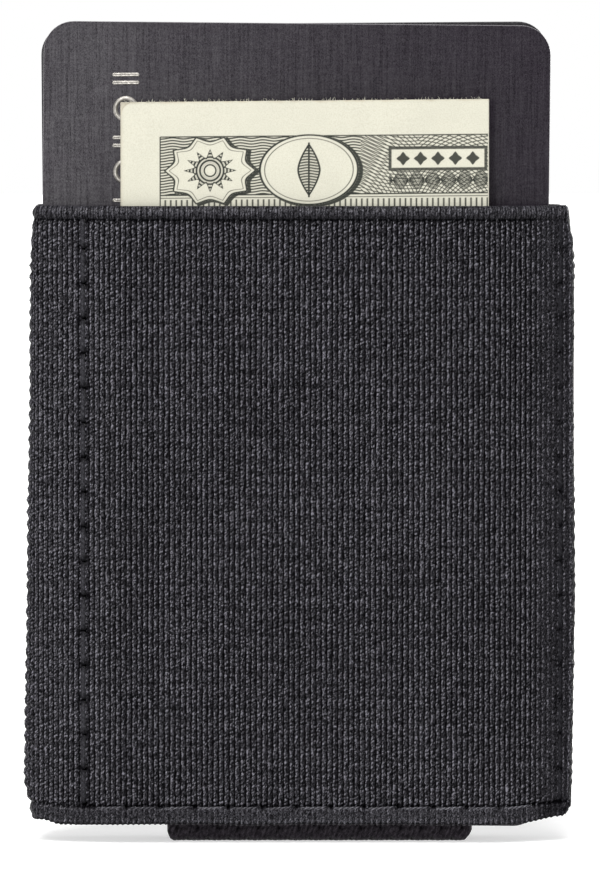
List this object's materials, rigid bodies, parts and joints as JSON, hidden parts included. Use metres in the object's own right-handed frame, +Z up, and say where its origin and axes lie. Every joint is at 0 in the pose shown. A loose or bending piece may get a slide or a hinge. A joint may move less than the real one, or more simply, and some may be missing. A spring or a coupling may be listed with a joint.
{
  "type": "minimalist wallet",
  "caption": "Slim woven elastic card sleeve with a front cash pocket, a stack of cards, a folded banknote and a webbing pull strap that lifts the cards.",
  "frame": {"origin": "middle of the footprint, on the surface that the strap's loop stands on", "axes": "+X to the wallet's right seen from the front, +Y from the front to the back, +Z up, out of the pockets"},
  "size_m": [0.0586, 0.0114, 0.0876],
  "materials": {
    "elastic": "ribbed woven elastic, matte",
    "webbing": "tight flat webbing, matte",
    "thread": "twisted polyester, slight sheen",
    "front_card": "fine vertical brushed satin",
    "card": "satin",
    "chip": "polished contact plating",
    "note": "soft uncoated cotton paper"
  },
  "bodies": {
    "sleeve": {"elastic_band": "elastic", "divider_panel": "elastic", "left_seam_thread": "thread", "right_seam_thread": "thread", "bottom_hem_thread": "thread", "strap_front_leg": "webbing", "anchor_thread": "thread"},
    "card_lift": {"strap_loop": "webbing", "strap_back_leg": "webbing"},
    "tab": {"pull_tab": "webbing", "tab_thread": "thread"},
    "card_1": {"card_1": "front_card", "card_chip": "chip"},
    "card_2": {"card_2": "card"},
    "card_3": {"card_3": "card"},
    "card_4": {"card_4": "card"},
    "card_5": {"card_5": "card"},
    "banknote": {"banknote": "note"}
  },
  "joints": [
    {"name": "card_lift_slide", "type": "slide", "parent": "sleeve", "child": "card_lift", "axis": [0, 0, 1], "range_m": [0, 0.025], "deforming": ["strap_front_leg"]},
    {"name": "pull_tab_slide", "type": "slide", "parent": "card_lift", "child": "tab", "axis": [0, 0, 1], "range_m": [0, 0.025], "deforming": ["strap_back_leg"]},
    {"name": "card_1_slide", "type": "slide", "parent": "card_lift", "child": "card_1", "axis": [0, 0, 1], "range_m": [0, 0.07]},
    {"name": "card_2_slide", "type": "slide", "parent": "card_lift", "child": "card_2", "axis": [0, 0, 1], "range_m": [0, 0.07]},
    {"name": "card_3_slide", "type": "slide", "parent": "card_lift", "child": "card_3", "axis": [0, 0, 1], "range_m": [0, 0.07]},
    {"name": "card_4_slide", "type": "slide", "parent": "card_lift", "child": "card_4", "axis": [0, 0, 1], "range_m": [0, 0.07]},
    {"name": "card_5_slide", "type": "slide", "parent": "card_lift", "child": "card_5", "axis": [0, 0, 1], "range_m": [0, 0.07]},
    {"name": "banknote_slide", "type": "slide", "parent": "sleeve", "child": "banknote", "axis": [0, 0, 1], "range_m": [0, 0.055]}
  ],
  "couplings": [
    {"joint": "pull_tab_slide", "follows": "card_lift_slide", "ratio": 1}
  ]
}
